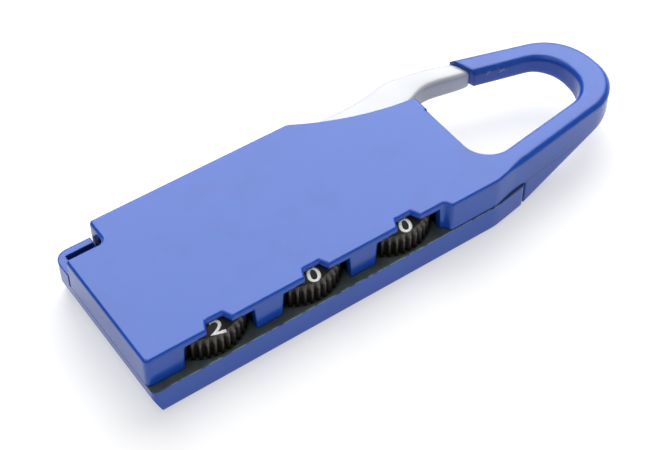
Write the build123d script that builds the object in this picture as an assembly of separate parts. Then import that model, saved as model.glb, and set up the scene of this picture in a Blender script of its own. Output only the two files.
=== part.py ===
"""Carabiner-style three-dial combination padlock, lying on its back cover.

Millimetres. +X runs along the dial edge from the plain end to the hook, +Y from the dial
edge to the gate edge, +Z up from the back cover. The origin is under the middle of the lock.
"""
import os
from math import atan2, cos, degrees, radians, sin, tan

from build123d import *

os.makedirs("parts", exist_ok=True)

# ---------------------------------------------------------------- driving dimensions
LENGTH = 85.0            # plain end to hook tip
THICK = 10.0             # back cover to top face
SEAM = 4.7               # height of the joint between the two housings
TOP_WALL = 0.9           # thickness of the top face
FLOOR = 1.0              # thickness of the cover's floor
RECESS = 1.3             # set-back of the front wall behind the dial edge
DIAL_R = 6.8             # crest radius of the dial teeth
DIAL_TEETH = 40          # four teeth to a digit
DIAL_COUNT = 3
DIAL_WALL = 1.8          # between the crests of neighbouring dials
DIAL_SHY = 0.75          # dial crests behind the dial edge
END_ROOM = 4.4           # plain end to the first dial's crest
HOOK_ROOM = 8.8          # last dial's crest to the flat wall inside the hook
GATE_ROOM = 11.2         # locking bar to the back edge of the housings
GATE_PROUD = 0.6         # thumb bump of the gate outside the back edge
BAR_THICK = 1.4
CAM_R = 4.6
BOSS_SHY = 0.15          # wall beside the hook behind the cover's edge
HOOK_WIDTH = 3.55        # flat of the hook at its tip
HOOK_BEVEL = 0.55
HOOK_THIN = 2.95         # thickness of the hook's back arm
HOOK_RISE = 0.297        # slope of the underside of the front arm
FRONT_TAPER, FRONT_INNER_TAPER = 3.92, 3.7     # the hook's edges lean inwards by these over its length
BACK_TAPER, BACK_INNER_TAPER = 8.32, 7.29
HOOK_FOOT = 0.4          # lowest point of the hook, beside the cover's end
ROOT_SLOPE = 0.175       # turn of the cover's edge under the hook's root
COVER_EDGE = 0.7         # rounding of the cover's lower edge
GATE_SWING = 16.0        # degrees the gate opens inwards
BAR_TRAVEL = 1.5         # slide of the locking bar while the gate opens
RESET_TRAVEL = 2.0
RAMP_SLOPE = 0.5         # lift of the cams per travel of the reset slide

# named clearances
RUN = 0.07               # pin in bore
GAP = 0.25               # between neighbouring moving parts
SLIDE = 0.05             # under flat sliding parts
EDGE = 0.4               # rounding of the painted edges

# ---------------------------------------------------------------- derived sizes
DIAL_PITCH = 2 * DIAL_R + DIAL_WALL
DIAL_FIRST = END_ROOM + DIAL_R                 # first dial's axis from the plain end
DIAL_INSET = DIAL_SHY + DIAL_R                 # dial axes from the dial edge
AXES = [DIAL_FIRST + DIAL_PITCH * i for i in range(DIAL_COUNT)]
BAR_FRONT = DIAL_INSET + DIAL_R - 0.15
BAR_BACK = BAR_FRONT + BAR_THICK
BODY_LEN = AXES[-1] + DIAL_R + HOOK_ROOM       # plain end to the flat wall inside the hook
BODY_DEPTH = BAR_BACK + GATE_ROOM              # dial edge to the back edge of the housings
WIDTH = BODY_DEPTH + GATE_PROUD
HOOK_LEN = LENGTH - BODY_LEN
X0 = -LENGTH / 2
Y0 = -WIDTH / 2
TOP_IN = THICK - TOP_WALL                      # underside of the top face
DIAL_TOP = TOP_IN - 0.15
DIAL_EDGE = DIAL_TOP - 1.85                    # top of the teeth, foot of the digit slope
DIAL_FLAT = DIAL_R - 2.3                       # flat of the dial inside the digit slope
DIAL_BASE = SEAM - 0.5
TOOTH_DEPTH = 0.6
POST_R = 1.38
CAM_BASE = FLOOR + 1.4
CAM_THICK = 1.6
CAM_LIFT = RESET_TRAVEL * RAMP_SLOPE
SPLINE_ROOT = 2.75
SPLINE_TIP = 3.15
SPLINE_LOW = DIAL_BASE + 1.2                   # lower end of the cam's splines
SPLINE_HIGH = SPLINE_LOW + 0.9
RING_LOW = CAM_BASE + CAM_THICK + CAM_LIFT + GAP
RING_TOP = SPLINE_LOW + CAM_LIFT - 0.05        # ends just below the splines of a lifted cam
WEB_LOW = DIAL_TOP - 0.95
PIVOT_U, PIVOT_V = BODY_LEN - 23.6, BODY_DEPTH - 7.3
PIVOT_R = 1.25
GATE_TOP = TOP_IN - 0.15
GATE_BASE = SEAM + GAP + 0.05
GATE_THICK = GATE_TOP - GATE_BASE
LUG_OUT = DIAL_INSET + CAM_R + GAP             # lug tips while the gate is shut
BAR_BASE = CAM_BASE + 0.1
BAR_TOP = DIAL_BASE - 0.35
PEG_R = 0.8
PEG_V = BAR_BACK + PEG_R + 0.06
PEG_U = PIVOT_U + BAR_TRAVEL / sin(radians(GATE_SWING)) + (PIVOT_V - PEG_V) * tan(radians(GATE_SWING / 2))
NOTCH_U, NOTCH_V = 6.0, BODY_DEPTH - 4.5       # corner notch in the upper housing
RIM_TOP = SEAM + 2.0
COVER_END = BODY_LEN + 5.7                     # end of the lower cover under the hook's root
ROOT_U = BODY_LEN - 0.5                        # where the front edge turns into the hook
BEVEL_U = BODY_LEN + 4.2                       # where the hook's bevel is full
SLIDE_BASE = FLOOR + SLIDE
SLIDE_TOP = SLIDE_BASE + 0.55
BACK_CORNER = BODY_LEN - 18.7                  # where the back edge turns towards the gate
GATE_WALL = BODY_DEPTH - 6.2                   # end of the hollow back edge, at the hook opening
SCREWS = [(3.4, 3.0), (20.0, BODY_DEPTH - 4.2), (BODY_LEN - 4.4, 4.4)]
SCREW_R = 0.9


# ---------------------------------------------------------------- small helpers
def pt(u, v):
    """A plan point measured from the plain end and the dial edge."""
    return (X0 + u, Y0 + v)


def at(u, v, w=0.0):
    return Pos(X0 + u, Y0 + v, w)


def prism(points, low, high):
    face = make_face(Polyline(*[pt(*p) for p in points], close=True))
    return Pos(0, 0, low) * extrude(face, high - low)


def disc(u, v, radius, low, high):
    return at(u, v, low) * Cylinder(radius, high - low, align=(Align.CENTER, Align.CENTER, Align.MIN))


def block(u1, u2, v1, v2, low, high):
    return at(u1, v1, low) * Box(u2 - u1, v2 - v1, high - low, align=(Align.MIN, Align.MIN, Align.MIN))


def coil(radius, wire, length, turns):
    """A round-wire compression spring standing on the origin, inside the given length."""
    rise = length - 2 * wire
    path = Helix(rise / turns, rise, radius)
    section = Plane(origin=path @ 0, z_dir=path % 0) * Circle(wire)
    return Pos(0, 0, wire) * sweep(section, path=path, is_frenet=True)


def round_corners(plan, spots):
    """Round the outline corner nearest to each (u, v, radius)."""
    for u, v, radius in spots:
        x, y = pt(u, v)
        corner = min(plan.vertices(), key=lambda p: (p.X - x) ** 2 + (p.Y - y) ** 2)
        plan = fillet(corner, radius)
    return plan


# ---------------------------------------------------------------- outlines
def outer_v(u, grow):
    """Front edge of the hook; the side wall stands grow outside the flat top."""
    return 1.04 + FRONT_TAPER * (u - BODY_LEN) / HOOK_LEN - grow / cos(FRONT_TAPER / HOOK_LEN)


def inner_v(u, grow):
    """Inner edge of the front arm."""
    return 3.44 + FRONT_INNER_TAPER * (u - BODY_LEN) / HOOK_LEN + grow / cos(FRONT_INNER_TAPER / HOOK_LEN)


def arm_outer_v(u, grow):
    """Outer edge of the back arm."""
    return BODY_DEPTH - 0.5 - BACK_TAPER * (u - BODY_LEN) / HOOK_LEN + grow / cos(BACK_TAPER / HOOK_LEN)


def arm_inner_v(u, grow):
    """Inner edge of the back arm."""
    lean = BACK_INNER_TAPER / HOOK_LEN
    return BODY_DEPTH - 3.73 - lean * (u - BODY_LEN) - grow / cos(lean)


def back_curve():
    """The hollow back edge, under which the gate sits."""
    return ThreePointArc(pt(BODY_LEN, GATE_WALL), pt(BACK_CORNER + 8.3, GATE_WALL + 2.3),
                         pt(BACK_CORNER, BODY_DEPTH))


def upper_plan():
    """Plan of the upper housing without its hook."""
    step = AXES[-1] + DIAL_R - 0.7
    first = Polyline(*[pt(*p) for p in [
        (0, NOTCH_V), (0, RECESS), (step, RECESS), (step + 0.7, BOSS_SHY), (ROOT_U, BOSS_SHY),
        (ROOT_U + 3.7, outer_v(ROOT_U + 3.7, HOOK_BEVEL)), (BEVEL_U, outer_v(BEVEL_U, HOOK_BEVEL)),
        (BEVEL_U, 2.5), (BODY_LEN - 1.0, 4.5), (BODY_LEN - 1.0, GATE_WALL - 3.0),
        (BODY_LEN, GATE_WALL - 3.0), (BODY_LEN, GATE_WALL)]])
    last = Polyline(*[pt(*p) for p in [
        (BACK_CORNER, BODY_DEPTH), (NOTCH_U, BODY_DEPTH), (NOTCH_U, NOTCH_V), (0, NOTCH_V)]])
    plan = make_face(first + back_curve() + last)
    return round_corners(plan, [
        (0, RECESS, 0.8), (BACK_CORNER, BODY_DEPTH, 1.2), (BODY_LEN, GATE_WALL, 0.4), (0, NOTCH_V, 0.4),
        (NOTCH_U, BODY_DEPTH, 0.6), (NOTCH_U, NOTCH_V, 1.0), (step, RECESS, 0.5),
        (step + 0.7, BOSS_SHY, 0.5), (ROOT_U, BOSS_SHY, 4.0)])


def cover_plan():
    """Plan of the lower cover: the full outline, ending under the hook's root."""
    end_v = (COVER_END - ROOT_U) * ROOT_SLOPE
    first = Polyline(*[pt(*p) for p in [
        (0, BODY_DEPTH), (0, 0), (ROOT_U, 0), (COVER_END, end_v),
        (COVER_END, inner_v(COVER_END, HOOK_BEVEL)), (BODY_LEN, inner_v(BODY_LEN, HOOK_BEVEL)),
        (BODY_LEN, GATE_WALL)]])
    last = Polyline(pt(BACK_CORNER, BODY_DEPTH), pt(0, BODY_DEPTH))
    plan = make_face(first + back_curve() + last)
    return round_corners(plan, [
        (0, 0, 0.8), (ROOT_U, 0, 8.0), (COVER_END, end_v, 0.9), (BACK_CORNER, BODY_DEPTH, 1.2),
        (BODY_LEN, inner_v(BODY_LEN, HOOK_BEVEL), 4.2), (BODY_LEN, GATE_WALL, 0.4), (0, BODY_DEPTH, 2.0)])


def hook_plan():
    """Plan of the hook's side walls, with its root running into the body."""
    start, side = BODY_LEN - 6.0, LENGTH
    loop = [(start, outer_v(start, HOOK_BEVEL)), (side, outer_v(side, HOOK_BEVEL)),
            (side, arm_outer_v(side, HOOK_BEVEL)), (start, arm_outer_v(start, HOOK_BEVEL))]
    outer = make_face(Polyline(*[pt(*p) for p in loop], close=True))
    outer = round_corners(outer, [(*loop[1], 7.5), (*loop[2], 8.7)])
    inside = LENGTH - HOOK_WIDTH - 2 * HOOK_BEVEL
    hole = [(BODY_LEN, inner_v(BODY_LEN, HOOK_BEVEL)), (inside, inner_v(inside, HOOK_BEVEL)),
            (inside, arm_inner_v(inside, HOOK_BEVEL)), (BODY_LEN, arm_inner_v(BODY_LEN, HOOK_BEVEL))]
    inner = make_face(Polyline(*[pt(*p) for p in hole], close=True))
    inner = round_corners(inner, [(*hole[0], 4.2), (*hole[1], 4.9), (*hole[2], 5.4)])
    return outer - inner


END_U, END_V, END_LEAN = BODY_LEN + 9.6, BODY_DEPTH - 3.7, 0.31   # slanted end of the back arm


def end_u(v, back):
    """The back arm's end face, or a line set back from it."""
    return END_U + (END_V - v) * END_LEAN - back


def gate_plan():
    """Plan of the gate lever: tail, pivot eye, thumb bump and finger."""
    u, v, top = PIVOT_U, PIVOT_V, WIDTH
    tip = pt(end_u(top - 3.5, GAP), top - 3.5)
    low = pt(end_u(top - 6.4, GAP), top - 6.4)
    outer = Spline(pt(u + 6.1, top - 1.3), pt(u + 12.0, top - 1.5), pt(u + 18.5, top - 1.3),
                   pt(u + 23.0, top), pt(u + 26.3, top - 0.85), pt(u + 29.3, top - 1.8), tip,
                   tangents=[(1, 0.05), (1, -0.45)], tangent_scalars=[0.6, 0.6])
    inner = Spline(low, pt(u + 30.6, top - 5.75), pt(u + 27.4, top - 5.0), pt(u + 25.0, top - 5.6),
                   pt(u + 22.5, top - 6.7), pt(u + 13.0, top - 7.9), pt(u + 4.0, v - 2.0), pt(u, v - 2.5),
                   tangents=[(-1, 0.3), (-1, 0)], tangent_scalars=[0.6, 0.8])
    tail = Polyline(pt(u, v - 2.5), pt(u - 3.2, v - 2.0), pt(u - 6.2, v - 0.7), pt(u - 6.5, v + 1.2),
                    pt(u - 6.0, v + 2.1), pt(u + 1.0, v + 3.0), pt(u + 4.2, v + 4.0), pt(u + 5.3, top - 2.0),
                    pt(u + 6.1, top - 1.3))
    plan = make_face(outer + Line(tip, low) + inner + tail)
    return round_corners(plan, [(tip[0] - X0, tip[1] - Y0, 1.0), (low[0] - X0, low[1] - Y0, 0.8),
                                (u + 5.3, top - 2.0, 0.8), (u - 6.2, v - 0.7, 1.0), (u - 6.0, v + 2.1, 0.8)])


# ---------------------------------------------------------------- upper housing
def hook():
    """Front arm, bend and back arm with a bevelled top, thinning towards the free end."""
    solid = extrude(hook_plan(), THICK)
    solid = chamfer(solid.faces().sort_by(Axis.Z)[-1].edges(), HOOK_BEVEL)
    front = prism([(BODY_LEN - 5, 2.5), (BEVEL_U - 0.3, 2.5), (BEVEL_U - 0.3, 0), (LENGTH + 5, 0),
                   (LENGTH + 5, 12), (BODY_LEN + 0.5, 12),
                   (BODY_LEN + 0.5, GATE_WALL - 2.9), (BODY_LEN - 5, GATE_WALL - 2.9)], -1, THICK + 1)
    high, low = WIDTH + 2, BODY_DEPTH - 13.0
    back = prism([(end_u(high, 0), high), (end_u(low, 0), low), (end_u(low, 0), 12), (LENGTH + 5, 12),
                  (LENGTH + 5, high)], -1, THICK + 1)
    solid = solid & (front + back)
    solid -= hook_underside()
    root = block(BODY_LEN - 9, COVER_END + 0.12, -6, GATE_WALL, -1, SEAM)
    return solid - root


def hook_underside():
    """What the hook lacks below: it rises along the front arm to the thin, level back arm."""
    start, end, level = BODY_LEN + 1.6, LENGTH + 5, THICK - HOOK_THIN
    low = HOOK_FOOT + (start - COVER_END) * HOOK_RISE
    front = [(start, -9), (end, -9), (end, low + (end - start) * HOOK_RISE), (start, low)]
    back = [(start, -9), (end, -9), (end, level), (start, level)]
    front, back = [[(X0 + u, v0, w) for u, w in side] for side, v0 in ((front, Y0 + 6.0), (back, Y0 + 17.0))]
    faces = [make_face(Polyline(*side, close=True)) for side in (front, back)]
    cut = loft([faces[0], faces[1]], ruled=True)
    return extrude(faces[0], 16.0, dir=(0, -1, 0)) + cut + extrude(faces[1], 16.0, dir=(0, 1, 0))


def root_bevel():
    """Pointed start of the hook's outer bevel."""
    run, rise = BEVEL_U - ROOT_U, outer_v(BEVEL_U, 0) - BOSS_SHY
    turn = at(ROOT_U, BOSS_SHY, THICK) * Rot(Z=degrees(atan2(rise, run))) * Rot(X=45)
    return turn * Box((run ** 2 + rise ** 2) ** 0.5, 4, 3, align=(Align.MIN, Align.CENTER, Align.MIN))


def notch_plan(u):
    """Reading notch over a dial, wide at its mouth."""
    deep, flare = 1.45, 0.48
    mouth = 1.3 + (deep + 0.6) * flare
    return [(u - mouth, RECESS - 0.6), (u + mouth, RECESS - 0.6), (u + 1.3, RECESS + deep),
            (u - 1.3, RECESS + deep)]


def dial_room(u):
    """Room for one dial, its window in the front wall and its notch in the top face."""
    room = disc(u, DIAL_INSET, DIAL_R + GAP + 0.05, SEAM - 1, TOP_IN)
    low, high = DIAL_R - 1.0, DIAL_R - 1.4
    side = [(u - low, SEAM - 1), (u + low, SEAM - 1), (u + high, TOP_IN - 0.1), (u - high, TOP_IN - 0.1)]
    window = make_face(Polyline(*[(X0 + a, Y0 - 1, b) for a, b in side], close=True))
    room += extrude(window, RECESS + 3.0, dir=(0, 1, 0))
    return room + prism(notch_plan(u), TOP_IN - 0.5, TOP_IN + 0.1)


def upper_housing():
    """Painted die-cast half with the top face and the hook."""
    body = Pos(0, 0, SEAM) * extrude(upper_plan(), THICK - SEAM)
    for u in AXES:
        body -= prism(notch_plan(u), TOP_IN - 0.2, THICK + 1)
    root_u, root_v = X0 + BODY_LEN - 1.2, Y0 + GATE_WALL - 2.9
    rims = [e for e in body.faces().sort_by(Axis.Z)[-1].outer_wire().edges()
            if e.center().X < root_u or e.center().Y > root_v or e.center().Y < Y0 + BOSS_SHY + 0.1]
    body = fillet(rims, EDGE)
    body = body + hook() - root_bevel()
    for u in AXES:
        body -= dial_room(u)
        body -= block(u - 4.6, u + 4.6, BAR_BACK - 0.7, BAR_BACK - 0.2, SEAM - 1, SEAM + 2.7)
        body -= block(u - 1.6, u + 0.6, DIAL_INSET + DIAL_R - 0.3, BAR_BACK - 0.6, SEAM - 1, SEAM + 2.7)
    body -= block(1.3, BACK_CORNER - 13, BAR_BACK + 0.6, NOTCH_V - 1.3, SEAM - 1, TOP_IN)
    body -= block(NOTCH_U + 1.3, BACK_CORNER - 13, NOTCH_V - 2, BODY_DEPTH - 1.3, SEAM - 1, TOP_IN)
    body -= prism([(BACK_CORNER - 12, BODY_DEPTH - 1.3), (BACK_CORNER - 12, BAR_BACK + 0.3),
                   (PIVOT_U + 7, BAR_BACK + 0.3), (PIVOT_U + 12.6, BAR_BACK), (PIVOT_U + 14, BAR_BACK - 0.9),
                   (BODY_LEN, BAR_BACK - 2.4), (BODY_LEN + 3, BAR_BACK - 2.7), (BODY_LEN + 3, WIDTH + 2),
                   (BACK_CORNER - 0.4, WIDTH + 2), (BACK_CORNER - 0.9, BODY_DEPTH - 1.3)], SEAM - 1, TOP_IN)
    for u in AXES:
        body += disc(u, DIAL_INSET, POST_R, FLOOR + 1.0, TOP_IN + 0.1)
    for u, v in SCREWS:
        if v > DIAL_INSET:
            body += disc(u, v, 2.3, SEAM, TOP_IN + 0.1)
        body -= disc(u, v, SCREW_R + RUN, SEAM - 1, TOP_IN - 0.4)
    return body - disc(PIVOT_U, PIVOT_V, PIVOT_R, SEAM, TOP_IN + 0.4)


# ---------------------------------------------------------------- lower cover
def lower_cover():
    """Painted die-cast half: front bar, floor, dial seats, corner rim and screw bosses."""
    body = extrude(cover_plan(), SEAM)
    rims = [e for e in body.faces().sort_by(Axis.Z)[0].outer_wire().edges()
            if e.center().Y < Y0 + 1.0 or e.center().X > X0 + COVER_END - 0.5]
    body = fillet(rims, COVER_EDGE)
    slope = [(X0 - 1, Y0 - 1, -1), (X0 + 1.5, Y0 - 1, -1), (X0 + 1.2, Y0 - 1, 0), (X0, Y0 - 1, 3.0),
             (X0 - 1, Y0 - 1, 3.0)]
    body -= extrude(make_face(Polyline(*slope, close=True)), WIDTH + 2, dir=(0, 1, 0))
    rim = prism([(0, NOTCH_V + 0.15), (NOTCH_U - 0.85, NOTCH_V + 0.15), (NOTCH_U - 0.15, NOTCH_V + 0.85),
                 (NOTCH_U - 0.15, BODY_DEPTH), (0, BODY_DEPTH)], SEAM - 0.2, RIM_TOP)
    corner = rim.edges().filter_by(Axis.Z).sort_by(Axis.X)[:2].sort_by(Axis.Y)[-1]
    rim = fillet(corner, 2.0)
    body += rim
    for u in AXES:
        body -= disc(u, DIAL_INSET, DIAL_R + GAP, DIAL_BASE - 0.12, SEAM + 1)
        body -= disc(u, DIAL_INSET, CAM_R + GAP + 0.1, FLOOR, SEAM + 1)
    first, last = AXES[0], AXES[-1]
    body -= block(1.6, last + 9.5, DIAL_INSET - 2.65, DIAL_INSET + 2.65, FLOOR, SEAM + 1)
    body -= block(last + 9, last + 10.7, DIAL_INSET - 0.9, DIAL_INSET + 0.9, FLOOR, SEAM + 1)
    body -= block(first - 2.8, last + 6.5, DIAL_INSET + 2.6, BAR_BACK + 2.2, FLOOR, SEAM + 1)
    body -= block(1.4, 7.0, DIAL_INSET + 2.6, NOTCH_V, FLOOR, SEAM + 1)
    body -= block(1.4, 5.7, NOTCH_V - 1, BODY_DEPTH - 1.1, FLOOR, RIM_TOP + 1)
    body -= block(7.0, BACK_CORNER - 13, BAR_BACK + 2.1, BODY_DEPTH - 1.3, FLOOR, SEAM + 1)
    body -= block(PIVOT_U + 4, BODY_LEN - 8, BAR_BACK + 2.1, GATE_WALL + 0.5, FLOOR, SEAM + 1)
    for u in bar_spring_axes():
        body += block(u - 0.9, u + 0.9, DIAL_INSET + 2.8, LUG_OUT - 1.2, FLOOR, DIAL_BASE - 0.2)
    body += disc(PIVOT_U, PIVOT_V, 2.4, FLOOR - 0.1, SEAM)
    body -= disc(PIVOT_U, PIVOT_V, PIVOT_R, FLOOR - 0.6, SEAM + 1)
    for u, v in SCREWS:
        body += disc(u, v, 1.75, FLOOR - 0.5, SEAM) if v > DIAL_INSET else disc(u, v, 1.2, 0.5, SEAM)
        body -= disc(u, v, SCREW_R + RUN, -1, SEAM + 1) + screw_head(u, v, RUN)
    return body


def screw_head(u, v, extra):
    """A countersunk head that ends flush with the back."""
    return at(u, v) * Cone(1.7 + extra, SCREW_R + extra, 0.9, align=(Align.CENTER, Align.CENTER, Align.MIN))


def cover_screws():
    """Three countersunk screws with a cross recess, driven in from the back."""
    screws = []
    for u, v in SCREWS:
        screw = screw_head(u, v, 0) + disc(u, v, SCREW_R, 0.8, TOP_IN - 1.0)
        screw -= block(u - 0.9, u + 0.9, v - 0.18, v + 0.18, -1, 0.5)
        screw -= block(u - 0.18, u + 0.18, v - 0.9, v + 0.9, -1, 0.5)
        screws.append(screw)
    return Compound(children=screws)


# ---------------------------------------------------------------- gate
def gate_lever():
    """Silver lever that closes the hook, with a pivot eye and a peg that pushes the bar."""
    lever = Pos(0, 0, GATE_BASE) * extrude(gate_plan(), GATE_THICK)
    rims = [e for f in (lever.faces().sort_by(Axis.Z)[-1], lever.faces().sort_by(Axis.Z)[0])
            for e in f.outer_wire().edges() if e.center().X > X0 + PIVOT_U + 10]
    lever = fillet(rims, 0.7)
    lever += disc(PEG_U, PEG_V, PEG_R, BAR_BASE, SEAM - 0.1)
    lever += block(PEG_U - 0.8, PEG_U + 0.8, PEG_V, PEG_V + 2.6, BAR_TOP + 0.1, SEAM - 0.1)
    lever += block(PEG_U - 0.8, PEG_U + 0.8, PEG_V + 1.6, PEG_V + 2.6, SEAM - 0.2, GATE_BASE + 0.5)
    return lever - disc(PIVOT_U, PIVOT_V, PIVOT_R + RUN, GATE_BASE - 1, GATE_TOP + 1)


def gate_spring():
    """Coil between the lever's tail and the back wall."""
    v = PIVOT_V + 2.55
    spring = coil(1.25, 0.2, BODY_DEPTH - 1.35 - v, 4)
    return at(PIVOT_U - 3.9, v, (GATE_BASE + GATE_TOP) / 2) * Rot(X=-90) * spring


# ---------------------------------------------------------------- dials
def dial(u):
    """Thumbwheel: upright teeth, sloping digit face, splined ring and a bore on its post."""
    pts = []
    step = 360.0 / DIAL_TEETH
    for i in range(DIAL_TEETH):
        a = -90 + i * step
        for da, r in ((-3.1, DIAL_R - TOOTH_DEPTH), (-2.0, DIAL_R), (2.0, DIAL_R), (3.1, DIAL_R - TOOTH_DEPTH)):
            pts.append((r * cos(radians(a + da)), r * sin(radians(a + da))))
    wheel = Pos(0, 0, DIAL_BASE) * extrude(make_face(Polyline(*pts, close=True)), DIAL_TOP - DIAL_BASE)
    shape = [(0, DIAL_BASE - 1), (DIAL_R + 1, DIAL_BASE - 1), (DIAL_R + 1, DIAL_EDGE - 0.8),
             (DIAL_FLAT, DIAL_TOP), (0, DIAL_TOP)]
    wheel &= revolve(make_face(Polyline(*[(x, 0, z) for x, z in shape], close=True)), Axis.Z)
    wheel -= disc(-X0, -Y0, CAM_R + GAP + 0.1, DIAL_BASE - 1, RING_LOW)
    wheel -= disc(-X0, -Y0, SPLINE_TIP + 0.15, RING_TOP, WEB_LOW)
    wheel -= disc(-X0, -Y0, POST_R + RUN, DIAL_BASE, DIAL_TOP + 1)
    wheel -= Pos(0, 0, RING_LOW - 0.5) * extrude(spline_plan(0.1), RING_TOP - RING_LOW + 1)
    return at(u, DIAL_INSET) * wheel


def spline_plan(grow):
    """Ten splines, one to a digit."""
    plan = Circle(SPLINE_ROOT + grow)
    for i in range(10):
        plan += Rot(Z=36 * i) * Pos((SPLINE_TIP + grow) / 2, 0) * Rectangle(SPLINE_TIP + grow, 0.8 + 2 * grow)
    return plan


def cam(u):
    """Notched disc with a splined collar. Its notch faces the bar when the code digit shows."""
    body = disc(-X0, -Y0, CAM_R, CAM_BASE, CAM_BASE + CAM_THICK)
    body += disc(-X0, -Y0, SPLINE_ROOT, CAM_BASE, SPLINE_HIGH)
    body += Pos(0, 0, SPLINE_LOW) * extrude(spline_plan(0), SPLINE_HIGH - SPLINE_LOW)
    cut = Pos(3.0, 0, CAM_BASE - 1) * Box(CAM_R, 2.2, CAM_THICK + 2, align=(Align.MIN, Align.CENTER, Align.MIN))
    for a in (90, 0):
        body -= Rot(Z=a) * cut & Cylinder(CAM_R + 1, 2 * (CAM_BASE + CAM_THICK))
    return at(u, DIAL_INSET) * (body - disc(-X0, -Y0, POST_R + RUN, 0, THICK))


def cam_spring(u):
    """Coil round the post between the cam's collar and the dial."""
    return at(u, DIAL_INSET, SPLINE_HIGH) * coil(2.0, 0.16, WEB_LOW - SPLINE_HIGH, 2.5)


def detent_spring(u):
    """Flat spring with a rib that clicks between the dial's teeth."""
    lean = radians(180.0 / DIAL_TEETH)
    ru, rv = u - (DIAL_R + 0.08) * sin(lean), DIAL_INSET + (DIAL_R + 0.08) * cos(lean)
    low, high = SEAM + 0.7, SEAM + 2.2
    strip = block(u - 4.4, u + 4.4, BAR_BACK - 0.55, BAR_BACK - 0.35, low, high)
    strip += block(ru - 0.22, ru + 0.22, rv, BAR_BACK - 0.45, low, high)
    return strip + disc(ru, rv, 0.22, low, high)


# ---------------------------------------------------------------- locking bar and reset slide
def bar_spring_axes():
    return [AXES[i] + DIAL_PITCH / 2 for i in range(DIAL_COUNT - 1)]


def locking_bar():
    """Bar with one lug per dial. The gate can only open when every lug enters its cam."""
    bar = block(AXES[0] - 2.0, AXES[-1] + 4.0, BAR_FRONT, BAR_BACK, BAR_BASE, BAR_TOP)
    for u in AXES:
        bar += block(u - 0.85, u + 0.85, LUG_OUT, BAR_FRONT + 0.2, BAR_BASE, BAR_TOP)
    return bar


def locking_bar_springs():
    """Two coils that push the bar back against the gate's peg."""
    length = BAR_FRONT - LUG_OUT + 1.2
    height = (BAR_BASE + BAR_TOP) / 2
    return Compound(children=[at(u, LUG_OUT - 1.2, height) * Rot(X=-90) * coil(0.5, 0.15, length, 5)
                              for u in bar_spring_axes()])


def reset_slide():
    """Steel slide whose ramps lift the cams out of the dials; its tab shows in the corner slot."""
    end = AXES[-1] + 6.5
    slide = block(3.0, end, DIAL_INSET - 2.45, DIAL_INSET + 2.45, SLIDE_BASE, SLIDE_TOP)
    slide += block(end - 0.4, end, DIAL_INSET - 0.8, DIAL_INSET + 0.8, SLIDE_BASE, SLIDE_BASE + 1.6)
    slide += block(2.0, 3.6, DIAL_INSET + 2.0, BODY_DEPTH - 1.6, SLIDE_BASE, SLIDE_TOP)
    slide += block(2.0, 3.6, BODY_DEPTH - 3.2, BODY_DEPTH - 1.6, SLIDE_BASE, RIM_TOP - 0.7)
    for u in AXES:
        touch = u - sin(1.238) * CAM_R                    # where the rim first meets the ramp
        top = CAM_BASE - 0.08
        foot = touch + (top - SLIDE_TOP) / RAMP_SLOPE
        head = touch - RESET_TRAVEL - 0.2
        ramp = [(head, SLIDE_BASE), (foot, SLIDE_BASE), (foot, SLIDE_TOP),
                (head, top + (touch - head) * RAMP_SLOPE)]
        face = make_face(Polyline(*[(X0 + a, Y0 + DIAL_INSET - 2.3, b) for a, b in ramp], close=True))
        rail = extrude(face, 0.8, dir=(0, 1, 0))
        slide += rail + Pos(0, 3.8, 0) * rail
    return slide


def reset_spring():
    """Coil that returns the reset slide."""
    start = AXES[-1] + 6.5
    return at(start, DIAL_INSET, SLIDE_BASE + 0.85) * Rot(Y=90) * coil(0.65, 0.14, 4.1, 5)


def build():
    nodes = {
        "upper_housing": upper_housing(), "lower_cover": lower_cover(), "cover_screws": cover_screws(),
        "gate_lever": gate_lever(), "gate_spring": gate_spring(),
        "gate_pivot_pin": disc(PIVOT_U, PIVOT_V, PIVOT_R, FLOOR - 0.6, TOP_IN + 0.4),
        "locking_bar": locking_bar(), "locking_bar_springs": locking_bar_springs(),
        "reset_slide": reset_slide(), "reset_spring": reset_spring(),
    }
    for i, u in enumerate(AXES, 1):
        nodes[f"dial_{i}"] = dial(u)
        nodes[f"cam_{i}"] = cam(u)
        nodes[f"cam_spring_{i}"] = cam_spring(u)
        nodes[f"detent_spring_{i}"] = detent_spring(u)
    return nodes


for name, shape in build().items():
    export_step(shape, f"parts/{name}.step")
    box = shape.bounding_box()
    print(name, len(shape.solids()), [round(v, 2) for v in (*box.min, *box.max)], round(shape.volume, 1))
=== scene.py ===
"""Three-dial combination padlock with a carabiner hook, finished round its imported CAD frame."""
import math

import bpy
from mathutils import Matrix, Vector


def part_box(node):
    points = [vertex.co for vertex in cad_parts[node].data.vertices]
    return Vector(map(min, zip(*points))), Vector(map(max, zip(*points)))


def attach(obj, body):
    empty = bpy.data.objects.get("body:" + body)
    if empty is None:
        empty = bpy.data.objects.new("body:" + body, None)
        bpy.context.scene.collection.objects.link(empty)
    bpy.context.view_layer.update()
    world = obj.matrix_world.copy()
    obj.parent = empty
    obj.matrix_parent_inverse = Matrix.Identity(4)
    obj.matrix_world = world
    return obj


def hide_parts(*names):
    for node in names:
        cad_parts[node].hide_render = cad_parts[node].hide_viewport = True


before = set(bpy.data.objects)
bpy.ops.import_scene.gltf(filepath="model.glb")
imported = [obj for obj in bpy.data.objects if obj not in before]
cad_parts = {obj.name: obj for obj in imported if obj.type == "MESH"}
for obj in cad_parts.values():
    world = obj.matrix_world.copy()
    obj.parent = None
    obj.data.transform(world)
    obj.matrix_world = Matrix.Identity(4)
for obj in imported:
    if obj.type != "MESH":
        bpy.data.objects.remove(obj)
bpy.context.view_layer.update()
bpy.ops.object.select_all(action="DESELECT")

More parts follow.
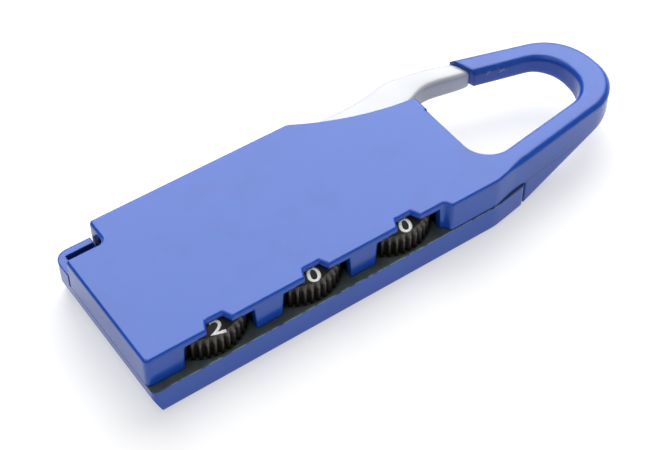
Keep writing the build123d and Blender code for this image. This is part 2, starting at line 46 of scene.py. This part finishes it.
# ================================================================ lower cover
# The back half of the shell: a zinc pressure die casting under stoved blue enamel. Its joint face is
# wiped clean of paint so that the halves close flat, and shows as a dark ledge in front of the dials.
MM = 0.001
cover_low, cover_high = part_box("lower_cover")
house_low, house_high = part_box("upper_housing")
seam = 4.7 * MM                          # height of the joint face
line = 0.08 * MM                         # a dark line this wide runs along the joint: the joint itself, and painted shadow under the upper half's edge
body_end = cover_high.x - 5.7 * MM       # flat wall inside the hook


def colour(hex_code):
    """A linear colour from an sRGB hex code."""
    parts = [int(hex_code[i:i + 2], 16) / 255 for i in (1, 3, 5)]
    return (*[c / 12.92 if c <= 0.04045 else ((c + 0.055) / 1.055) ** 2.4 for c in parts], 1.0)


def add_node(tree, kind, settings=(), **inputs):
    """Adds a node, sets its properties, and sets or links its inputs by name or, as _0, by number."""
    node = tree.nodes.new("ShaderNode" + kind)
    for name, value in dict(settings).items():
        setattr(node, name, value)
    for name, value in inputs.items():
        numbered = name[0] == "_" and name[1:].isdigit()
        socket = node.inputs[int(name[1:]) if numbered else name.replace("_", " ")]
        if isinstance(value, bpy.types.NodeSocket):
            tree.links.new(value, socket)
        else:
            socket.default_value = value
    return node


def new_material(name, base, roughness, metallic=0.0):
    """A finish with its plain values on the shader itself, and the surface's own coordinates."""
    material = bpy.data.materials.new(name)
    material.use_nodes = True
    tree = material.node_tree
    shader = tree.nodes["Principled BSDF"]
    shader.inputs["Base Color"].default_value = colour(base)
    shader.inputs["Roughness"].default_value = roughness
    shader.inputs["Metallic"].default_value = metallic
    return material, tree, shader, add_node(tree, "TexCoord").outputs["Object"]


def blend_colour(tree, share, below, above):
    """One colour over another, by a share from 0 to 1."""
    return add_node(tree, "Mix", {"data_type": "RGBA"}, _0=share, _6=below, _7=above).outputs[2]


def times(tree, first, second):
    """Two shares multiplied: 1 only where both are."""
    return add_node(tree, "Math", {"operation": "MULTIPLY"}, _0=first, _1=second).outputs[0]


def box_mask(tree, place, spans, soft=0.02 * MM):
    """1 inside the given spans of x, y and z, and 0 outside, with a soft border."""
    axes = add_node(tree, "SeparateXYZ", Vector=place)
    share = None
    for axis, (low, high) in spans.items():
        value = axes.outputs[axis]
        for start, end in ((low - soft, low + soft), (high + soft, high - soft)):
            step = add_node(tree, "MapRange", _0=value, _1=start, _2=end).outputs[0]
            share = step if share is None else times(tree, share, step)
    return share


def dress(node_name, material):
    """Gives a CAD node its finish."""
    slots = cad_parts[node_name].data.materials
    slots.clear()
    slots.append(material)


def enamel(name):
    """Stoved blue enamel on die-cast zinc: a smooth, glossy, slightly orange-peeled coat with faint
    handling smudges and a few pin specks of dust. It returns the colour so far, to be worn further and
    given painted shade."""
    material, tree, shader, place = new_material(name, "#1149AE", 0.2)
    shader.inputs["Specular Tint"].default_value = colour("#ECF5FF")
    # smudges about 8 mm across, uneven shine of 2 mm, orange peel of 0.7 mm and specks 5 mm apart
    smudge = add_node(tree, "TexNoise", _0=place, Scale=125.0, Detail=3.0, Roughness=0.55).outputs[0]
    smudges = add_node(tree, "MapRange", _0=smudge, _1=0.5, _2=0.75, _3=0.0, _4=0.55).outputs[0]
    base = blend_colour(tree, smudges, colour("#1149AE"), colour("#10409C"))
    cells = add_node(tree, "TexVoronoi", {"feature": "F1"}, Vector=place, Scale=210.0)
    near = add_node(tree, "MapRange", _0=cells.outputs["Distance"], _1=0.05, _2=0.03).outputs[0]
    chosen = add_node(tree, "SeparateXYZ", Vector=cells.outputs["Color"]).outputs[0]
    few = add_node(tree, "Math", {"operation": "GREATER_THAN"}, _0=chosen, _1=0.8).outputs[0]
    base = blend_colour(tree, times(tree, times(tree, near, few), 0.5), base, colour("#123C86"))
    cloud = add_node(tree, "TexNoise", _0=place, Scale=480.0, Detail=2.0).outputs[0]
    shine = add_node(tree, "MapRange", _0=cloud, _1=0.3, _2=0.7, _3=0.17, _4=0.25).outputs[0]
    peel = add_node(tree, "TexNoise", _0=place, Scale=1400.0, Detail=1.0).outputs[0]
    # paint draws back from the casting's edges and rounds them off, most of all along the hook
    hook = box_mask(tree, place, {0: (body_end + 3 * MM, body_end + 40 * MM)}, 2 * MM)
    round_off = add_node(tree, "MapRange", _0=hook, _3=0.35 * MM, _4=0.8 * MM).outputs[0]
    drawn = add_node(tree, "Bevel", {"samples": 8}, Radius=round_off).outputs[0]
    bump = add_node(tree, "Bump", Strength=0.05, Distance=0.00005, Height=peel, Normal=drawn).outputs[0]
    tree.links.new(shine, shader.inputs["Roughness"])
    tree.links.new(bump, shader.inputs["Normal"])
    return material, tree, shader, place, base


def upward(tree):
    """1 where a surface faces up."""
    normal = add_node(tree, "SeparateXYZ", Vector=add_node(tree, "NewGeometry").outputs["Normal"])
    return add_node(tree, "Math", {"operation": "GREATER_THAN"}, _0=normal.outputs[2], _1=0.9).outputs[0]


# Bare zinc darkened by handling on the joint face, chipped pale along its front edge, and painted shade
# # in the same dark zinc colour on the floor inside.
cover_paint, tree, shader, place, base = enamel("blue_stoved_enamel_on_cover")
grime = add_node(tree, "TexNoise", _0=place, Scale=900.0, Detail=4.0).outputs[0]
bare_zinc_and_inner_shade = blend_colour(tree, grime, colour("#2C3338"), colour("#5C6664"))
joint_face = {2: (seam - 0.03 * MM, seam + 0.1 * MM)}
bare_joint_and_inner_shade = times(tree, box_mask(tree, place, joint_face, 0.005 * MM), upward(tree))
# painted shade: the hollow inside the cover is darkened with the dark zinc colour
shaded_inside_of_cover = {0: (cover_low.x + 1.2 * MM, body_end - 3 * MM),
         1: (cover_low.y + 0.5 * MM, cover_high.y - 1 * MM), 2: (0.5 * MM, seam - 0.1 * MM)}
bare_joint_and_inner_shade = add_node(tree, "Math", {"operation": "MAXIMUM"}, _0=bare_joint_and_inner_shade, _1=box_mask(tree, place, shaded_inside_of_cover)).outputs[0]
joint_line_and_shadow = {1: (cover_low.y + 0.4 * MM, cover_high.y + MM), 2: (seam - line, seam + line)}
# dark joint line, with painted shadow below the upper half's edge
base = blend_colour(tree, box_mask(tree, place, joint_line_and_shadow), base, colour("#0C1634"))
base = blend_colour(tree, bare_joint_and_inner_shade, base, bare_zinc_and_inner_shade)
front_edge = {0: (cover_low.x, body_end), 1: (cover_low.y - MM, cover_low.y + 0.12 * MM),
              2: (seam - 0.1 * MM, seam + 0.1 * MM)}
chips = add_node(tree, "MapRange", _0=grime, _1=0.34, _2=0.52).outputs[0]
worn = times(tree, box_mask(tree, place, front_edge), chips)
base = blend_colour(tree, worn, base, colour("#7F9CB0"))
tree.links.new(base, shader.inputs["Base Color"])
rough = add_node(tree, "Mix", {"data_type": "FLOAT"}, _0=bare_joint_and_inner_shade, _2=0.22, _3=0.6).outputs[0]
tree.links.new(rough, shader.inputs["Roughness"])
dress("lower_cover", cover_paint)

# ================================================================ cover screws and gate pin
# Three countersunk cross-recess screws and the gate's pin: cold-formed steel, bright zinc plated. The
# plating is evenly bright with a faint clouding.
plating, tree, shader, place = new_material("bright_zinc_plated_steel", "#B9BEC4", 0.3, 1.0)
clouding = add_node(tree, "TexNoise", _0=place, Scale=1500.0, Detail=3.0).outputs[0]
shine = add_node(tree, "MapRange", _0=clouding, _1=0.3, _2=0.7, _3=0.22, _4=0.42).outputs[0]
tint = blend_colour(tree, clouding, colour("#A9AFB6"), colour("#C6C9CC"))
tree.links.new(shine, shader.inputs["Roughness"])
tree.links.new(tint, shader.inputs["Base Color"])
dress("cover_screws", plating)
dress("gate_pivot_pin", plating)

# ================================================================ reset slide, locking bar and springs
# Stamped from bright strip steel, drawn from spring wire, or blanked from spring strip. The sheared
# surfaces keep fine lines along the strip; the springs are darker from oil tempering.
strip, tree, shader, place = new_material("stamped_strip_steel", "#8E9196", 0.35, 1.0)
grain = add_node(tree, "Mapping", Vector=place, Scale=(250.0, 6000.0, 6000.0)).outputs[0]
rolling = add_node(tree, "TexNoise", _0=grain, Scale=1.0, Detail=3.0).outputs[0]
tree.links.new(add_node(tree, "MapRange", _0=rolling, _1=0.3, _2=0.7, _3=0.28, _4=0.48).outputs[0],
               shader.inputs["Roughness"])
tree.links.new(blend_colour(tree, rolling, colour("#7F8287"), colour("#9EA1A5")),
               shader.inputs["Base Color"])
dress("reset_slide", strip)
dress("locking_bar", strip)

tempered, tree, shader, place = new_material("oil_tempered_spring_steel", "#63625F", 0.38, 1.0)
scale_marks = add_node(tree, "TexNoise", _0=place, Scale=3000.0, Detail=3.0).outputs[0]
tree.links.new(blend_colour(tree, scale_marks, colour("#4F4D49"), colour("#7A7974")),
               shader.inputs["Base Color"])
for name in ("reset_spring", "locking_bar_springs", "gate_spring"):
    dress(name, tempered)
for number in (1, 2, 3):
    dress(f"cam_spring_{number}", tempered)
    dress(f"detent_spring_{number}", tempered)

# ================================================================ cams
# Notched brass discs with a splined collar, turned from bar, so fine rings run round each axis.
for number in (1, 2, 3):
    dial_low, dial_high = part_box(f"dial_{number}")
    axis = (dial_low + dial_high) / 2
    brass, tree, shader, place = new_material(f"turned_brass_{number}", "#B08D4A", 0.3, 1.0)
    centred = add_node(tree, "Mapping", Vector=place, Location=(-axis.x, -axis.y, 0.0)).outputs[0]
    # tool rings 0.15 mm apart
    rings = add_node(tree, "TexWave", {"wave_type": "RINGS", "rings_direction": "Z"}, Vector=centred,
                     Scale=340.0, Distortion=0.6).outputs["Fac"]
    tree.links.new(blend_colour(tree, rings, colour("#A5813E"), colour("#C6A55F")),
                   shader.inputs["Base Color"])
    tree.links.new(add_node(tree, "MapRange", _0=rings, _3=0.24, _4=0.4).outputs[0],
                   shader.inputs["Roughness"])
    dress(f"cam_{number}", brass)

# ================================================================ dials
# Three thumbwheels moulded in black nylon: forty upright teeth, four to a digit, run out into a sloping
# face that carries the digits, and a hollow underneath takes the cam. Each turns on a cast post.
dial_low, dial_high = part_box("dial_1")
DIAL_R = (dial_high.x - dial_low.x) / 2
BASE, TOP = dial_low.z, dial_high.z
FLAT_R = DIAL_R - 2.4 * MM               # flat ring inside the slope
SHOULDER_R = DIAL_R - 0.5 * MM           # where the slope breaks down to the tooth tips
SLOPE = 0.5                              # fall of the digit face per millimetre outwards
TIP = TOP - 1.85 * MM                    # top of the upright part of a tooth
GROOVE_R = DIAL_R - 0.62 * MM
BORE_R, SPRING_ROOM_R, CAM_ROOM_R = 1.45 * MM, 3.3 * MM, 4.95 * MM
CROWN = TOP - 0.95 * MM                  # underside of the top wall
CAM_ROOM_TOP = BASE + 1.05 * MM
TEETH = 40
PITCH = 360 / TEETH                      # degrees from tooth to tooth
HAIR = 0.01 * MM                         # slack when points are picked by their place


def face_height(radius):
    """Height of the sloping digit face and of the chamfer on the tooth tips."""
    slope = TOP - (min(radius, SHOULDER_R) - FLAT_R) * SLOPE
    chamfer = (slope - TIP) * max(radius - SHOULDER_R, 0) / (DIAL_R - SHOULDER_R)
    return slope - chamfer


def edit(piece):
    """Opens a finished or fresh piece for shaping, alone."""
    bpy.ops.object.select_all(action="DESELECT")
    piece.select_set(True)
    bpy.context.view_layer.objects.active = piece
    bpy.ops.object.mode_set(mode="EDIT")


def pick(piece, test):
    """Selects the vertices whose place passes a test, in edit mode."""
    bpy.ops.object.mode_set(mode="OBJECT")
    for part in (piece.data.polygons, piece.data.edges):
        for item in part:
            item.select = False
    for vertex in piece.data.vertices:
        vertex.select = test(vertex.co)
    bpy.ops.object.mode_set(mode="EDIT")
    bpy.ops.mesh.select_mode(type="VERT")


def apply_modifiers(piece):
    """Applies all the modifiers of a piece, in order."""
    bpy.ops.object.select_all(action="DESELECT")
    piece.select_set(True)
    bpy.context.view_layer.objects.active = piece
    for modifier in list(piece.modifiers):
        bpy.ops.object.modifier_apply(modifier=modifier.name)


def in_groove(place):
    """True for the two of every four points round the rim that lie in a groove."""
    turn = (math.degrees(math.atan2(place.y, place.x)) + 90) % PITCH
    return PITCH / 4 < turn < PITCH * 3 / 4


def on_rim(place):
    """True for the points on the tips of the teeth or in the grooves."""
    return place.to_2d().length > DIAL_R - HAIR


nylon, tree, shader, place = new_material("black_moulded_nylon", "#1A1816", 0.42)
# moulding texture 0.1 mm across, and a painted highlight on the tooth tips, where they catch the light
texture = add_node(tree, "TexNoise", _0=place, Scale=7000.0, Detail=2.0).outputs[0]
mottle = add_node(tree, "TexNoise", _0=place, Scale=600.0, Detail=2.0).outputs[0]
painted_highlight_on_tips = box_mask(tree, place, {2: (6.95 * MM, 7.95 * MM)}, 0.15 * MM)
black = blend_colour(tree, mottle, colour("#171513"), colour("#27241F"))
# painted highlight: the tooth tips are lightened to grey
black = blend_colour(tree, times(tree, painted_highlight_on_tips, 0.85), black, colour("#57534D"))
tree.links.new(black, shader.inputs["Base Color"])
tree.links.new(add_node(tree, "MapRange", _0=texture, _1=0.3, _2=0.7, _3=0.34, _4=0.5).outputs[0],
               shader.inputs["Roughness"])
tree.links.new(add_node(tree, "Bump", Strength=0.12, Distance=0.00002, Height=texture).outputs[0],
               shader.inputs["Normal"])

bpy.ops.mesh.primitive_circle_add(vertices=4 * TEETH, radius=DIAL_R, fill_type="NOTHING",
                                  location=(0, 0, 0))
wheel = bpy.context.object
edit(wheel)
bpy.ops.mesh.select_all(action="SELECT")
bpy.ops.transform.rotate(value=math.radians(PITCH / 8), orient_axis="Z", center_override=(0, 0, 0))
bpy.ops.transform.translate(value=(0, 0, BASE))
# rim, digit face, flat ring, bore, spring room, spline ring, cam room, and back to the rim
profile = [(DIAL_R, BASE), (DIAL_R, TIP), (SHOULDER_R, face_height(SHOULDER_R)), (FLAT_R, TOP),
           (BORE_R, TOP), (BORE_R, CROWN), (SPRING_ROOM_R, CROWN), (SPRING_ROOM_R, CAM_ROOM_TOP),
           (CAM_ROOM_R, CAM_ROOM_TOP), (CAM_ROOM_R, BASE), (DIAL_R, BASE)]
for (radius, height), (next_radius, next_height) in zip(profile, profile[1:]):
    bpy.ops.mesh.extrude_region_move(TRANSFORM_OT_translate={"value": (0, 0, next_height - height)})
    grow = next_radius / radius
    bpy.ops.transform.resize(value=(grow, grow, 1), center_override=(0, 0, next_height))
bpy.ops.mesh.select_all(action="SELECT")
bpy.ops.mesh.remove_doubles(threshold=0.002 * MM)
# the grooves run up into the slope, and are then drawn in
pick(wheel, lambda p: on_rim(p) and in_groove(p) and p.z > BASE + HAIR)
bpy.ops.transform.translate(value=(0, 0, face_height(SHOULDER_R) - 0.05 * MM - TIP))
pick(wheel, lambda p: on_rim(p) and in_groove(p))
bpy.ops.transform.resize(value=(GROOVE_R / DIAL_R, GROOVE_R / DIAL_R, 1), center_override=(0, 0, 0))
bpy.ops.mesh.select_all(action="SELECT")
bpy.ops.mesh.normals_make_consistent(inside=False)
bpy.ops.object.mode_set(mode="OBJECT")
softened = wheel.modifiers.new("moulded_edges", "BEVEL")
softened.width, softened.segments, softened.limit_method = 0.05 * MM, 2, "ANGLE"
softened.angle_limit = math.radians(28)
apply_modifiers(wheel)
bpy.ops.object.shade_smooth_by_angle(angle=math.radians(35))
wheel.data.materials.append(nylon)

# ================================================================ digits
# Ten digits round each dial's slope, pad printed in white ink that stands a hair proud. The ink is
# matt and a little uneven. The lock opens, and rests, at 2-0-0.
ink, tree, shader, place = new_material("white_pad_printing_ink", "#F2F2EE", 0.5)
thin = add_node(tree, "TexNoise", _0=place, Scale=4000.0, Detail=2.0).outputs[0]
thin = add_node(tree, "MapRange", _0=thin, _1=0.35, _2=0.6).outputs[0]
tree.links.new(blend_colour(tree, thin, colour("#F0F0EC"), colour("#FFFFFF")), shader.inputs["Base Color"])
FONT_SIZE = 3.1 * MM
MIDDLE_R = 5.4 * MM                      # radius through the middle of the digits
STRETCH = math.hypot(1, SLOPE)           # length along the slope per millimetre outwards
ROUNDER, SHORTER = 1.38, 0.92            # the figures are a broad, round cut
LEAN = math.radians(12)                  # and lean clockwise of the radius
DIGIT_TURN = 36                          # degrees from digit to digit


def print_digit(symbol, turn):
    """One digit, laid on the cone with its foot outwards, a given turn from the front."""
    bpy.ops.object.text_add(location=(0, 0, 0))
    text = bpy.context.object
    text.data.body = symbol
    text.data.size = FONT_SIZE
    text.data.offset = 0.03 * MM
    text.data.align_x = "CENTER"
    text.data.align_y = "CENTER"
    bpy.ops.object.convert(target="MESH")
    printed = bpy.context.object
    middle = sum((Vector(corner) for corner in printed.bound_box), Vector()) / 8
    edit(printed)
    bpy.ops.mesh.select_all(action="SELECT")
    bpy.ops.mesh.remove_doubles(threshold=0.001 * MM)
    bpy.ops.mesh.subdivide(number_cuts=2)
    bpy.ops.object.mode_set(mode="OBJECT")
    for vertex in printed.data.vertices:
        across, up = ROUNDER * (vertex.co.x - middle.x), SHORTER * (vertex.co.y - middle.y)
        across, up = (across * math.cos(LEAN) + up * math.sin(LEAN),
                      up * math.cos(LEAN) - across * math.sin(LEAN))
        radius = MIDDLE_R - up / STRETCH
        angle = math.radians(turn - 90) + across / MIDDLE_R
        vertex.co = (radius * math.cos(angle), radius * math.sin(angle), face_height(radius) + 0.03 * MM)
    return printed


digits = [print_digit(str(count), DIGIT_TURN * count) for count in range(10)]
bpy.ops.object.select_all(action="DESELECT")
for printed in digits:
    printed.select_set(True)
bpy.context.view_layer.objects.active = digits[0]
bpy.ops.object.join()
ring_of_digits = digits[0]
proud = ring_of_digits.modifiers.new("ink_film", "SOLIDIFY")
proud.thickness, proud.offset = 0.04 * MM, -1.0
apply_modifiers(ring_of_digits)
ring_of_digits.data.materials.clear()
ring_of_digits.data.materials.append(ink)


def set_down(pattern, name, place, turn):
    """A copy of a piece with its own mesh, turned and put in its place."""
    piece = pattern.copy()
    piece.data = pattern.data.copy()
    piece.name = piece.data.name = name
    bpy.context.scene.collection.objects.link(piece)
    c, s = math.cos(turn), math.sin(turn)
    for vertex in piece.data.vertices:
        x, y, z = vertex.co
        vertex.co = (place.x + x * c - y * s, place.y + x * s + y * c, z)
    return piece


for number, shown in ((1, 2), (2, 0), (3, 0)):
    low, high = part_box(f"dial_{number}")
    axis = (low + high) / 2
    dial = set_down(wheel, f"dial_wheel_{number}", axis, 0.0)
    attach(dial, f"dial_{number}")
    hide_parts(f"dial_{number}")
    turned = math.radians(-DIGIT_TURN * shown)
    figures = set_down(ring_of_digits, f"dial_digits_{number}", axis, turned)
    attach(figures, f"dial_{number}")
for pattern in (wheel, ring_of_digits):
    bpy.data.objects.remove(pattern)

# ================================================================ gate
# The lever that closes the hook: a zinc die casting with a pivot eye, a thumb bump and a rounded finger,
# sprayed in satin silver. The finger stands a little proud of the plate and meets the hook's end face.
# Sections along the lever, from its tail to the hook: distance from the plain end, inner and outer side
# from the dial edge, underside and top above the back, all in millimetres.
corner = Vector((cover_low.x, cover_low.y, 0.0))
LEVER = [(28.0, 19.6, 21.3, 5.1, 8.9), (29.5, 18.6, 21.7, 5.1, 8.9), (32.0, 17.6, 22.0, 5.1, 8.9),
         (34.5, 17.2, 22.3, 5.1, 8.9), (37.0, 17.6, 22.9, 5.1, 8.9), (39.0, 17.9, 24.0, 5.1, 8.9),
         (41.0, 18.3, 25.4, 5.1, 8.9), (44.0, 18.9, 25.95, 5.1, 8.9), (48.0, 19.5, 25.75, 5.1, 8.9),
         (51.5, 20.0, 25.95, 5.1, 8.9), (54.5, 20.4, 26.6, 5.15, 8.92), (56.9, 20.9, 27.0, 5.25, 8.95),
         (58.2, 21.4, 26.75, 5.3, 9.0), (59.4, 21.9, 26.4, 5.4, 9.1), (60.8, 22.1, 26.0, 5.5, 9.25),
         (62.6, 21.8, 25.5, 5.6, 9.4), (64.4, 21.3, 24.9, 5.7, 9.45), (66.2, 20.8, 24.2, 5.8, 9.45),
         (67.5, 20.4, 23.6, 5.9, 9.45)]
END_LEAN = 0.31                          # slant of the hook's end face
END_INNER, END_OUTER = LEVER[-1][1:3]
pivot_low, pivot_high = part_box("gate_pivot_pin")
pivot = (pivot_low + pivot_high) / 2


def centre(section):
    """The middle of one section of the lever."""
    along, shaded_inside_of_cover, outer, under, top = section
    return Vector((along, (shaded_inside_of_cover + outer) / 2, (under + top) / 2)) * MM + corner


def stretch(was, section):
    """Widens the open end of the lever from one section to the next."""
    width, height = [(section[i + 1] - section[i]) / (was[i + 1] - was[i]) for i in (1, 3)]
    bpy.ops.transform.resize(value=(1, width, height), center_override=centre(section))


silver, tree, shader, place = new_material("satin_silver_lacquer", "#BFC1C5", 0.32, 0.05)
# aluminium flake 0.08 mm across in the lacquer, and soft handling marks 5 mm across
flake = add_node(tree, "TexNoise", _0=place, Scale=9000.0, Detail=1.0).outputs[0]
marks = add_node(tree, "TexNoise", _0=place, Scale=200.0, Detail=2.0).outputs[0]
tree.links.new(blend_colour(tree, flake, colour("#B8BABE"), colour("#C6C8CC")), shader.inputs["Base Color"])
tree.links.new(add_node(tree, "MapRange", _0=marks, _1=0.3, _2=0.7, _3=0.28, _4=0.38).outputs[0],
               shader.inputs["Roughness"])

bpy.ops.mesh.primitive_plane_add(size=2 * MM, location=(0, 0, 0), rotation=(0, math.radians(90), 0))
lever = bpy.context.object
lever.name = lever.data.name = "gate_lever_silver"
bpy.ops.object.transform_apply(location=True, rotation=True, scale=True)
edit(lever)
bpy.ops.mesh.select_all(action="SELECT")
bpy.ops.transform.translate(value=centre(LEVER[0]))
stretch((0, -1, 1, -1, 1), LEVER[0])
for was, section in zip(LEVER, LEVER[1:]):
    step = centre(section) - centre(was)
    bpy.ops.mesh.extrude_region_move(TRANSFORM_OT_translate={"value": step})
    stretch(was, section)
# the finger's end leans as the hook's end face does
pick(lever, lambda p: p.x > centre(LEVER[-1]).x - 0.3 * MM and p.y < centre(LEVER[-1]).y)
bpy.ops.transform.translate(value=((END_OUTER - END_INNER) * END_LEAN * MM, 0, 0))
bpy.ops.mesh.select_all(action="SELECT")
bpy.ops.mesh.normals_make_consistent(inside=False)
bpy.ops.object.mode_set(mode="OBJECT")
rounding = lever.modifiers.new("cast_rounding", "BEVEL")
rounding.width, rounding.segments, rounding.limit_method = 0.75 * MM, 2, "ANGLE"
rounding.angle_limit = math.radians(50)
rounding.use_clamp_overlap = False
smoothing = lever.modifiers.new("smooth_casting", "SUBSURF")
smoothing.levels = smoothing.render_levels = 2
apply_modifiers(lever)

bpy.ops.mesh.primitive_cylinder_add(vertices=64, radius=1.32 * MM, depth=8 * MM,
                                    location=(pivot.x, pivot.y, 7 * MM))
drill = bpy.context.object
bored = lever.modifiers.new("pivot_bore", "BOOLEAN")
bored.operation, bored.object, bored.solver = "DIFFERENCE", drill, "EXACT"
apply_modifiers(lever)
bpy.data.objects.remove(drill)
bpy.ops.object.shade_smooth_by_angle(angle=math.radians(40))
lever.data.materials.append(silver)
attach(lever, "gate")
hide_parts("gate_lever")

# ================================================================ upper housing
# The front half of the shell and the hook in one zinc die casting, under the same blue enamel. Painted
# # shade darkens the inside, and a thin dark line of painted shade marks the die's parting line along the
# outside of the hook.
top_paint, tree, shader, place, base = enamel("blue_stoved_enamel")
inside = {0: (cover_low.x + 1.1 * MM, body_end - 0.3 * MM),
          1: (cover_low.y + 2.3 * MM, cover_high.y - 1.2 * MM), 2: (0.0, house_high.z - 0.85 * MM)}
# painted shade: the hollow inside the housing is darkened nearly black
base = blend_colour(tree, box_mask(tree, place, inside), base, colour("#14161A"))
joint_line_and_shadow = {2: (seam - line, seam + line)}
# dark joint line, with painted shadow under the housing's lower edge
base = blend_colour(tree, box_mask(tree, place, joint_line_and_shadow), base, colour("#0C1634"))
axes = add_node(tree, "SeparateXYZ", Vector=place)
# the parting line stands 5.5 mm high beside the root and rises 0.137 mm per millimetre
rise = add_node(tree, "Math", {"operation": "MULTIPLY_ADD"}, _0=axes.outputs[0], _1=0.137,
                _2=5.5 * MM - 0.137 * (cover_low.x + 68.7 * MM)).outputs[0]
off = add_node(tree, "Math", {"operation": "SUBTRACT"}, _0=axes.outputs[2], _1=rise).outputs[0]
away = add_node(tree, "Math", {"operation": "ABSOLUTE"}, _0=off).outputs[0]
# a thin dark line of painted shade along the die's real parting line, where the small ridge turns from the
# light
parting_line_shade = add_node(tree, "MapRange", _0=away, _1=0.12 * MM, _2=0.04 * MM).outputs[0]
front_arm = box_mask(tree, place, {0: (cover_low.x + 66 * MM, house_high.x - 2 * MM),
                                   1: (house_low.y, house_low.y + 12 * MM)})
parting_line_shade = times(tree, times(tree, parting_line_shade, front_arm), 0.6)
base = blend_colour(tree, parting_line_shade, base, colour("#10265E"))
# rubbed, greyish green patches inside the back arm, where the gate's finger and zip pulls wear it
rubbed_spot = box_mask(tree, place, {0: (cover_low.x + 70 * MM, cover_low.x + 73.5 * MM),
                                     1: (cover_low.y + 17 * MM, cover_low.y + 21.5 * MM),
                                     2: (8.0 * MM, 9.5 * MM)}, 0.2 * MM)
scuffs = add_node(tree, "TexNoise", _0=place, Scale=1300.0, Detail=4.0).outputs[0]
scuffs = add_node(tree, "MapRange", _0=scuffs, _1=0.52, _2=0.62).outputs[0]
base = blend_colour(tree, times(tree, times(tree, scuffs, rubbed_spot), 0.45), base, colour("#7C978C"))
tree.links.new(base, shader.inputs["Base Color"])
dress("upper_housing", top_paint)

# ================================================================ studio
# A white table under a large soft box that stands behind and above the lock.
bpy.ops.object.select_all(action="DESELECT")
bpy.ops.mesh.primitive_plane_add(size=6.0, location=(0, 0, 0))
floor = bpy.context.object
floor.name = "floor"
table, tree, shader, place = new_material("white_laminate_table", "#BEBEBE", 0.9)
shader.inputs["Emission Color"].default_value = (1, 1, 1, 1)
shader.inputs["Emission Strength"].default_value = 0.5
floor.data.materials.append(table)


def soft_box(name, towards, distance, width, height, power):
    """A soft box at a distance from the lock, in a direction, aimed at it."""
    light = bpy.data.lights.new(name, "AREA")
    light.shape = "RECTANGLE"
    light.size = width
    light.size_y = height
    light.energy = power
    lamp = bpy.data.objects.new(name, light)
    bpy.context.scene.collection.objects.link(lamp)
    direction = Vector(towards).normalized()
    lamp.location = direction * distance
    lamp.rotation_euler = direction.to_track_quat("Z", "Y").to_euler()


soft_box("key_soft_box", (0.383, 0.543, 0.7475), distance=0.6, width=0.6, height=0.6, power=5.3)
soft_box("ceiling_soft_box", (-0.35, -0.1, 0.93), distance=1.2, width=1.0, height=1.0, power=3.6)
soft_box("front_strip", (0.3, -0.93, 0.2), distance=0.8, width=0.6, height=0.07, power=0.55)

world = bpy.data.worlds.new("studio")
world.use_nodes = True
world.node_tree.nodes["Background"].inputs["Color"].default_value = (1, 1, 1, 1)
world.node_tree.nodes["Background"].inputs["Strength"].default_value = 0.22
bpy.context.scene.world = world

# the camera stands in front of the dials, to the left, and looks down by 48 degrees
camera = bpy.data.objects.new("camera", bpy.data.cameras.new("camera"))
bpy.context.scene.collection.objects.link(camera)
camera.data.lens = 82.15
camera.location = (-0.08945, -0.12066, 0.16651)
camera.rotation_euler = Vector((-0.38324, -0.54258, 0.74750)).to_track_quat("Z", "Y").to_euler()
bpy.context.scene.camera = camera
bpy.context.scene.view_settings.view_transform = "Standard"
